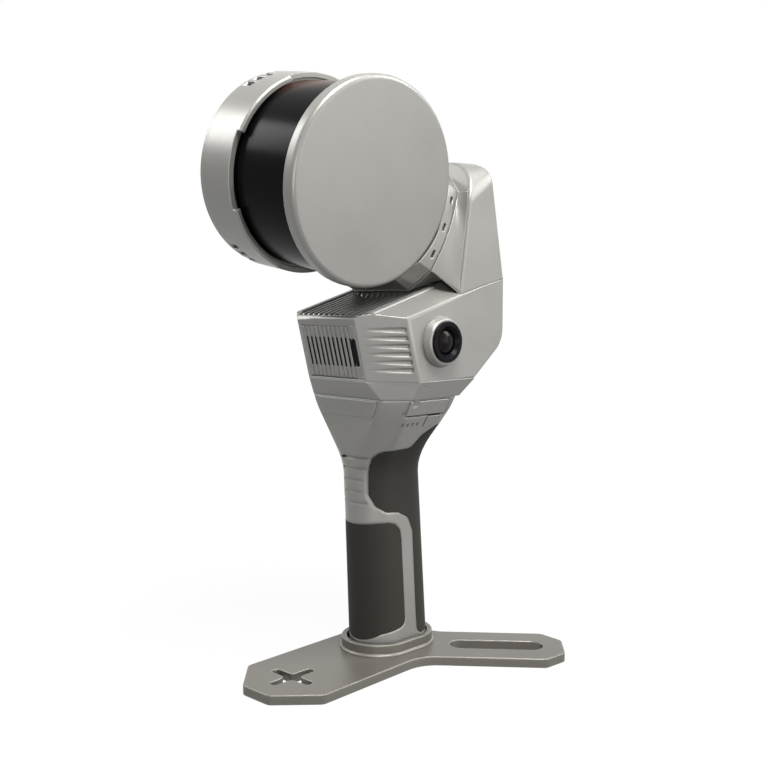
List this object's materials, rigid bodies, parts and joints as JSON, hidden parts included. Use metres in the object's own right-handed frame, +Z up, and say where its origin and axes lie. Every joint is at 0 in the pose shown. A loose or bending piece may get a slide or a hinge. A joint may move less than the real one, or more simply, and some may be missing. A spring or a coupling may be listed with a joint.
{
  "type": "handheld laser scanner",
  "caption": "Handheld mobile laser scanner: a drum range finder on a turning head over a camera body, with a padded grip on a two-legged base plate.",
  "frame": {"origin": "on the grip axis, on the underside of the base plate", "axes": "+Z up along the stand, +X towards the right camera, -Y towards the louvred front"},
  "size_m": [0.1257, 0.1667, 0.3109],
  "materials": {
    "plate_metal": "satin warm grey paint over bead-blasted aluminium, bright edges",
    "silver_paint": "satin silver-grey paint with a fine grain",
    "fin_metal": "satin silver-grey, dark between the fins",
    "grip_rubber": "matte soft-touch rubber",
    "window_plastic": "glossy infrared-passing black window",
    "lens_glass": "coated lens, dark with a reddish glint",
    "black_plastic": "matte moulded plastic",
    "light_plastic": "clear light pipes, unlit",
    "steel": "turned steel",
    "insert_brass": "turned brass",
    "cell_wrap": "plain shrink wrap",
    "board": "solder mask",
    "inner_metal": "machined",
    "copper_winding": "enamelled windings"
  },
  "bodies": {
    "scanner_body": {"base_plate": "plate_metal", "base_collar": "plate_metal", "base_screws": "steel", "handle_shell": "silver_paint", "front_grip_pad": "grip_rubber", "rear_grip_pad": "grip_rubber", "handle_end_cap": "black_plastic", "thread_inserts": "insert_brass", "battery_sled": "black_plastic", "battery_cells": "cell_wrap", "battery_contacts": "steel", "port_block": "black_plastic", "status_lights": "light_plastic", "button_board": "board", "lower_housing": "silver_paint", "main_housing": "silver_paint", "front_grille": "silver_paint", "heat_sink": "fin_metal", "fan_frame": "black_plastic", "main_board": "board", "compute_module": "inner_metal", "imu_module": "steel", "camera_bezel_right": "silver_paint", "camera_bezel_left": "silver_paint", "camera_barrel_right": "black_plastic", "camera_barrel_left": "black_plastic", "camera_lens_right": "lens_glass", "camera_lens_left": "lens_glass", "camera_board_right": "board", "camera_board_left": "board", "arm_cover": "silver_paint", "motor_frame": "inner_metal", "motor_stator": "copper_winding", "head_bearings": "steel", "slip_ring": "black_plastic"},
    "head": {"motor_bell": "steel", "head_hub": "steel", "head_bracket": "silver_paint", "bracket_screws": "steel", "lidar_cup": "silver_paint", "lidar_end_plate": "silver_paint", "lidar_window": "window_plastic", "lidar_cap": "silver_paint", "lidar_shaft": "steel"},
    "spinner": {"lidar_spinner": "inner_metal"},
    "fan": {"fan_rotor": "black_plastic"},
    "button": {"power_button": "silver_paint"},
    "port_flap": {"port_cover": "silver_paint"}
  },
  "joints": [
    {"name": "head_turn", "type": "hinge", "parent": "scanner_body", "child": "head", "pos_m": [0, -0.0422, 0.25529], "axis": [0, -0.8988, 0.4384], "continuous": true},
    {"name": "lidar_spin", "type": "hinge", "parent": "head", "child": "spinner", "pos_m": [0, -0.0422, 0.25529], "axis": [0.9848, -0.0182, -0.1725], "continuous": true},
    {"name": "fan_spin", "type": "hinge", "parent": "scanner_body", "child": "fan", "pos_m": [-0.0015, -0.03379, 0.16697], "axis": [0, 0.9687, 0.2482], "continuous": true},
    {"name": "power_button_press", "type": "slide", "parent": "scanner_body", "child": "button", "axis": [-0.833, 0, 0.5533], "range_m": [0, 0.001], "stiffness_N_per_m": 500},
    {"name": "port_cover_open", "type": "hinge", "parent": "scanner_body", "child": "port_flap", "pos_m": [0.03203, -0.0036, 0.13588], "axis": [0, 1, 0], "range_deg": [0, 90]}
  ]
}
